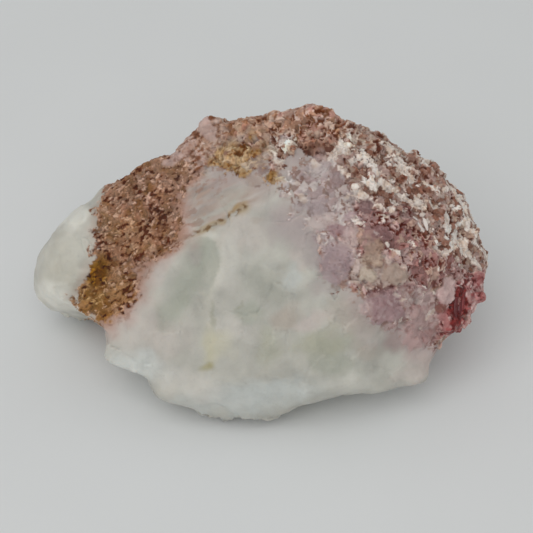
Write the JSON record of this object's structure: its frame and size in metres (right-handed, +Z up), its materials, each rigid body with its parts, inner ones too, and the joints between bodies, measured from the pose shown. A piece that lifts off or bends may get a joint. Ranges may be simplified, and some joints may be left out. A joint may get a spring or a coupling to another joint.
{
  "type": "pink tourmaline with quartz specimen",
  "caption": "Rough hand-size stone of milky quartz with granular brown-pink tourmaline, albite flakes and red tourmaline columns, lying on its broken underside.",
  "frame": {"origin": "on the resting surface, under the middle of the stone's bounding box", "axes": "+Z up; +X along the stone's long side; -Y towards the broad quartz face"},
  "size_m": [0.0772, 0.048, 0.0428],
  "materials": {
    "milky_quartz": "translucent milky quartz, smooth broken faces",
    "pink_tourmaline": "sugary brown-pink grains, slightly glossy",
    "red_tourmaline": "glassy dark red columns",
    "albite": "opaque white flakes, satin"
  },
  "bodies": {
    "root": {"stone": "milky_quartz"}
  },
  "joints": []
}
